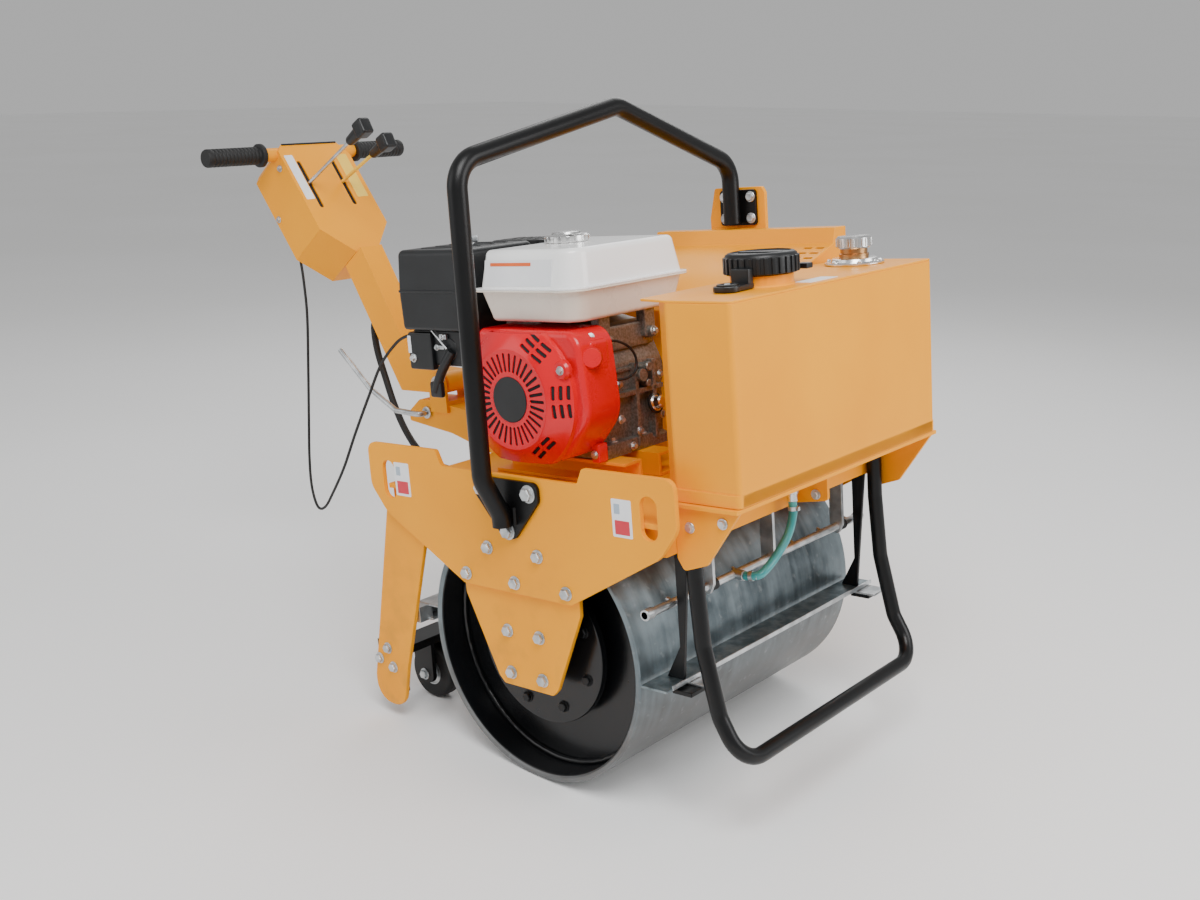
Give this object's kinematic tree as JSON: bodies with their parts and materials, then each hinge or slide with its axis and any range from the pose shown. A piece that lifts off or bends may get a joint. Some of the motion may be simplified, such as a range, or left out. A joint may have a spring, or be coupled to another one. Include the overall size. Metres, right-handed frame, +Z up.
{
  "type": "single-drum walk-behind vibratory road roller",
  "caption": "Walk-behind road roller with a smooth steel drum, small engine, water tank, lifting hoop, front stand, rear roller wheels and a folding handle.",
  "frame": {"origin": "middle of the underside of the bounding box, on the floor", "axes": "+X forward to the water tank, +Y to the machine's left, +Z up"},
  "size_m": [1.2986, 0.695, 1.0146],
  "materials": {
    "yellow_paint": "warm yellow gloss paint",
    "black_paint": "semi-gloss black paint",
    "drum_steel": "rolled steel, streaked with wear",
    "zinc_plate": "zinc plated steel",
    "engine_alloy": "cast alloy, sand-cast texture",
    "red_enamel": "glossy red enamel",
    "white_enamel": "glossy white enamel",
    "black_plastic": "moulded black plastic",
    "black_rubber": "matt black rubber",
    "teal_hose": "translucent teal hose",
    "chrome": "bright plating"
  },
  "bodies": {
    "chassis": {"axle_right": "zinc_plate", "axle_left": "zinc_plate", "side_plate_right": "yellow_paint", "side_plate_left": "yellow_paint", "axle_bracket_right": "yellow_paint", "axle_bracket_left": "yellow_paint", "deck": "yellow_paint", "engine_rail_right": "yellow_paint", "engine_rail_left": "yellow_paint", "rear_leg_right": "yellow_paint", "rear_leg_left": "yellow_paint", "water_tank": "yellow_paint", "tank_cap": "black_plastic", "tank_vent": "chrome", "tank_shelf": "yellow_paint", "sprinkler_pipe": "zinc_plate", "outlet_valve": "chrome", "water_hose": "teal_hose", "front_scraper": "zinc_plate", "front_scraper_arm_right": "black_paint", "front_scraper_arm_left": "black_paint", "rear_scraper": "zinc_plate", "front_stand": "black_paint", "lifting_hoop": "black_paint", "hoop_upright": "yellow_paint", "engine_block": "engine_alloy", "fan_shroud": "red_enamel", "fuel_tank": "white_enamel", "fuel_cap": "chrome", "air_cleaner": "black_plastic", "carburettor": "black_plastic", "muffler": "black_paint", "belt_guard": "yellow_paint", "drive_cover": "yellow_paint", "handle_mount": "yellow_paint", "lock_rod": "zinc_plate", "throttle_cable": "black_rubber", "control_hose": "black_rubber", "wheel_bracket_right": "black_paint", "wheel_bracket_left": "black_paint"},
    "drum": {"drum_shell": "drum_steel", "drum_end_right": "black_paint", "drum_end_left": "black_paint"},
    "rear_wheel_right": {"rear_wheel_right": "black_rubber"},
    "rear_wheel_left": {"rear_wheel_left": "black_rubber"},
    "handle": {"handle_column": "yellow_paint", "console": "yellow_paint", "grip_right": "black_rubber", "grip_left": "black_rubber", "lever_travel": "zinc_plate", "lever_throttle": "zinc_plate"}
  },
  "joints": [
    {"name": "drum_roll", "type": "hinge", "parent": "chassis", "child": "drum", "pos_m": [0.27107, 0.00724, 0.21242], "axis": [0, 1, 0], "continuous": true},
    {"name": "rear_wheel_right_roll", "type": "hinge", "parent": "chassis", "child": "rear_wheel_right", "pos_m": [-0.05132, -0.17676, 0.04792], "axis": [0, 1, 0], "continuous": true},
    {"name": "rear_wheel_left_roll", "type": "hinge", "parent": "chassis", "child": "rear_wheel_left", "pos_m": [-0.05132, 0.19124, 0.04792], "axis": [0, 1, 0], "continuous": true},
    {"name": "handle_fold", "type": "hinge", "parent": "chassis", "child": "handle", "pos_m": [-0.19247, 0.00724, 0.51028], "axis": [0, 1, 0], "range_deg": [0, 35]}
  ]
}
